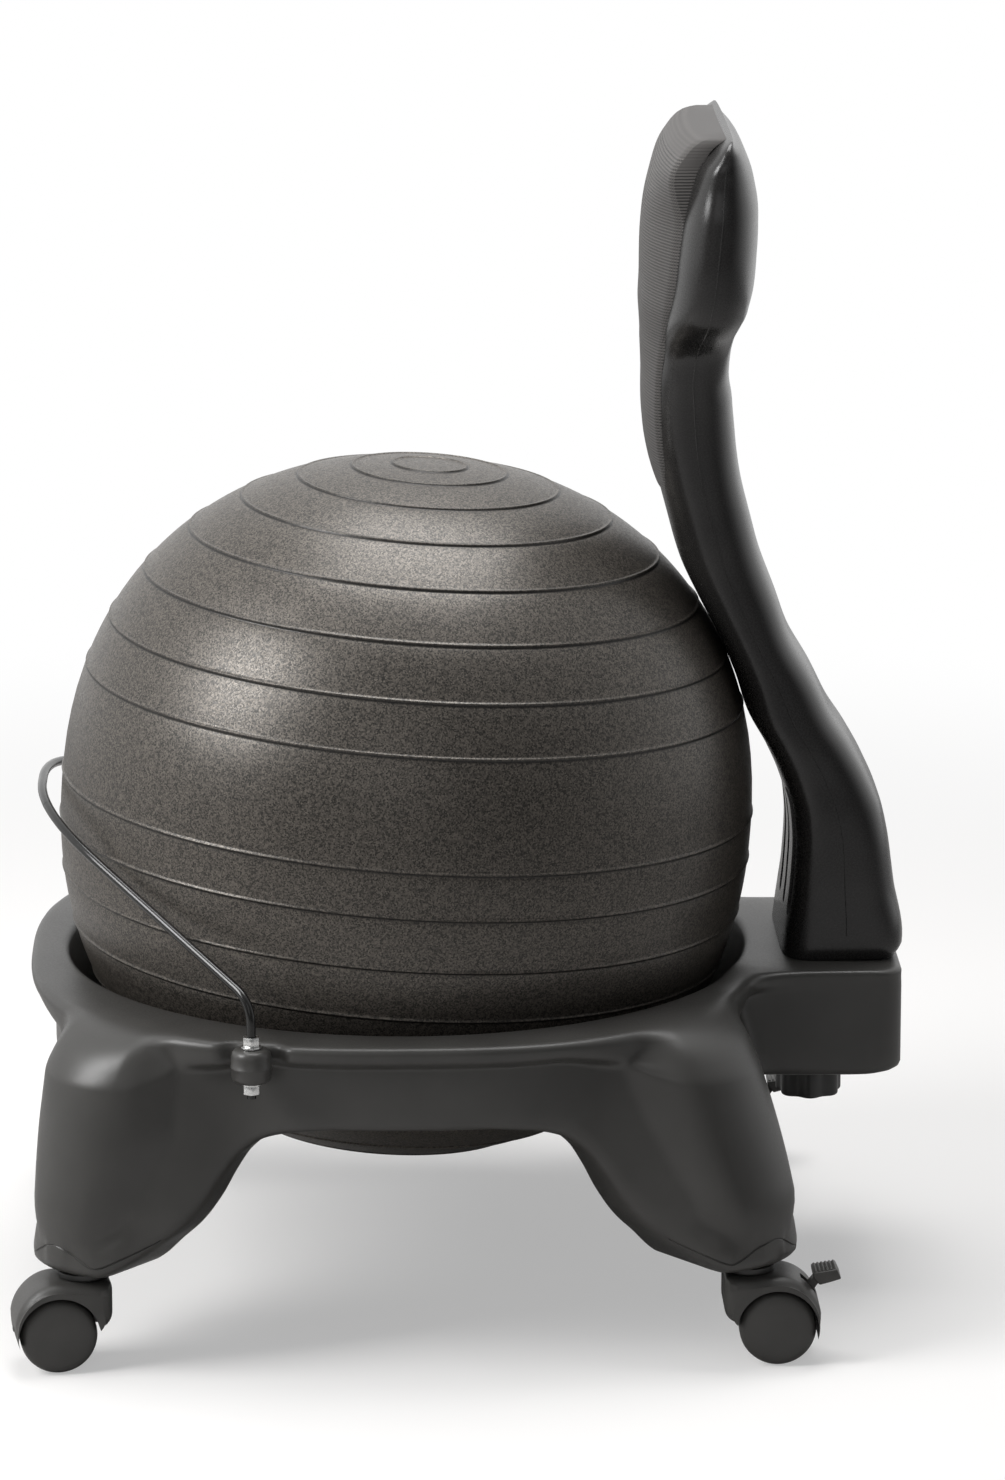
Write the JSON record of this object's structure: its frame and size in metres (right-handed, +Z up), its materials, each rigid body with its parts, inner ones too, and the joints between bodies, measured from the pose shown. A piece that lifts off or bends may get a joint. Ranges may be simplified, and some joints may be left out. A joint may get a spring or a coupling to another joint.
{
  "type": "balance ball chair",
  "caption": "Inflated ball seat in a moulded ring base with arched legs on swivel casters, a wire retaining bar and a padded, curved back support clamped on by a knob.",
  "frame": {"origin": "on the floor, under the middle of the whole chair's box", "axes": "+X the chair's left, +Y the rear, towards the back support, +Z up"},
  "size_m": [0.53, 0.5924, 0.7779],
  "materials": {
    "base_plastic": "satin blow-moulded polyethylene",
    "back_plastic": "satin blow-moulded polyethylene",
    "ball_vinyl": "pearly charcoal vinyl, fine grain",
    "pad_mesh": "ribbed knitted mesh over foam",
    "black_enamel": "gloss black enamel",
    "zinc": "bright zinc plate",
    "steel": "plain steel",
    "nylon": "satin nylon",
    "black_plastic": "satin black plastic"
  },
  "bodies": {
    "base": {"seat_base": "base_plastic", "retaining_bar": "black_enamel", "bar_upper_nut_left": "zinc", "bar_upper_nut_right": "zinc", "bar_lower_nut_left": "zinc", "bar_lower_nut_right": "zinc", "back_support": "back_plastic", "back_pad": "pad_mesh", "back_insert_nut": "zinc", "stem_socket_front_left": "black_plastic", "caster_stem_front_left": "steel", "stem_socket_front_right": "black_plastic", "caster_stem_front_right": "steel", "stem_socket_rear_left": "black_plastic", "caster_stem_rear_left": "steel", "stem_socket_rear_right": "black_plastic", "caster_stem_rear_right": "steel"},
    "ball": {"ball": "ball_vinyl", "ball_plug": "black_plastic"},
    "clamp": {"clamp_knob": "black_plastic", "clamp_stud": "steel"},
    "caster_front_left": {"caster_hood_front_left": "nylon", "caster_axle_front_left": "steel"},
    "wheel_a_front_left": {"caster_wheel_a_front_left": "nylon"},
    "wheel_b_front_left": {"caster_wheel_b_front_left": "nylon"},
    "caster_front_right": {"caster_hood_front_right": "nylon", "caster_axle_front_right": "steel"},
    "wheel_a_front_right": {"caster_wheel_a_front_right": "nylon"},
    "wheel_b_front_right": {"caster_wheel_b_front_right": "nylon"},
    "caster_rear_left": {"caster_hood_rear_left": "nylon", "caster_axle_rear_left": "steel", "brake_pin_rear_left": "steel"},
    "wheel_a_rear_left": {"caster_wheel_a_rear_left": "nylon"},
    "wheel_b_rear_left": {"caster_wheel_b_rear_left": "nylon"},
    "brake_rear_left": {"brake_lever_rear_left": "nylon"},
    "caster_rear_right": {"caster_hood_rear_right": "nylon", "caster_axle_rear_right": "steel", "brake_pin_rear_right": "steel"},
    "wheel_a_rear_right": {"caster_wheel_a_rear_right": "nylon"},
    "wheel_b_rear_right": {"caster_wheel_b_rear_right": "nylon"},
    "brake_rear_right": {"brake_lever_rear_right": "nylon"}
  },
  "joints": [
    {"name": "ball_spin", "type": "hinge", "parent": "base", "child": "ball", "pos_m": [0, -0.03382, 0.319], "axis": [0, 0.0698, 0.9976], "continuous": true},
    {"name": "clamp_turn", "type": "hinge", "parent": "base", "child": "clamp", "pos_m": [0, 0.23818, 0.144], "axis": [0, 0, 1], "range_deg": [-180, 180]},
    {"name": "swivel_front_left", "type": "hinge", "parent": "base", "child": "caster_front_left", "pos_m": [0.213, -0.24682, 0.06], "axis": [0, 0, 1], "continuous": true},
    {"name": "roll_a_front_left", "type": "hinge", "parent": "caster_front_left", "child": "wheel_a_front_left", "pos_m": [0.21573, -0.26512, 0.025], "axis": [0.989, 0.1478, 0], "continuous": true},
    {"name": "roll_b_front_left", "type": "hinge", "parent": "caster_front_left", "child": "wheel_b_front_left", "pos_m": [0.21573, -0.26512, 0.025], "axis": [0.989, 0.1478, 0], "continuous": true},
    {"name": "swivel_front_right", "type": "hinge", "parent": "base", "child": "caster_front_right", "pos_m": [-0.213, -0.24682, 0.06], "axis": [0, 0, 1], "continuous": true},
    {"name": "roll_a_front_right", "type": "hinge", "parent": "caster_front_right", "child": "wheel_a_front_right", "pos_m": [-0.21933, -0.22944, 0.025], "axis": [0.9397, 0.342, 0], "continuous": true},
    {"name": "roll_b_front_right", "type": "hinge", "parent": "caster_front_right", "child": "wheel_b_front_right", "pos_m": [-0.21933, -0.22944, 0.025], "axis": [0.9397, 0.342, 0], "continuous": true},
    {"name": "swivel_rear_left", "type": "hinge", "parent": "base", "child": "caster_rear_left", "pos_m": [0.213, 0.18368, 0.06], "axis": [0, 0, 1], "continuous": true},
    {"name": "roll_a_rear_left", "type": "hinge", "parent": "caster_rear_left", "child": "wheel_a_rear_left", "pos_m": [0.213, 0.20218, 0.025], "axis": [1, 0, 0], "continuous": true},
    {"name": "roll_b_rear_left", "type": "hinge", "parent": "caster_rear_left", "child": "wheel_b_rear_left", "pos_m": [0.213, 0.20218, 0.025], "axis": [1, 0, 0], "continuous": true},
    {"name": "brake_rear_left", "type": "hinge", "parent": "caster_rear_left", "child": "brake_rear_left", "pos_m": [0.213, 0.2226, 0.04615], "axis": [1, 0, 0], "range_deg": [-12, 0]},
    {"name": "swivel_rear_right", "type": "hinge", "parent": "base", "child": "caster_rear_right", "pos_m": [-0.213, 0.18368, 0.06], "axis": [0, 0, 1], "continuous": true},
    {"name": "roll_a_rear_right", "type": "hinge", "parent": "caster_rear_right", "child": "wheel_a_rear_right", "pos_m": [-0.213, 0.20218, 0.025], "axis": [1, 0, 0], "continuous": true},
    {"name": "roll_b_rear_right", "type": "hinge", "parent": "caster_rear_right", "child": "wheel_b_rear_right", "pos_m": [-0.213, 0.20218, 0.025], "axis": [1, 0, 0], "continuous": true},
    {"name": "brake_rear_right", "type": "hinge", "parent": "caster_rear_right", "child": "brake_rear_right", "pos_m": [-0.213, 0.2226, 0.04615], "axis": [1, 0, 0], "range_deg": [-12, 0]}
  ]
}
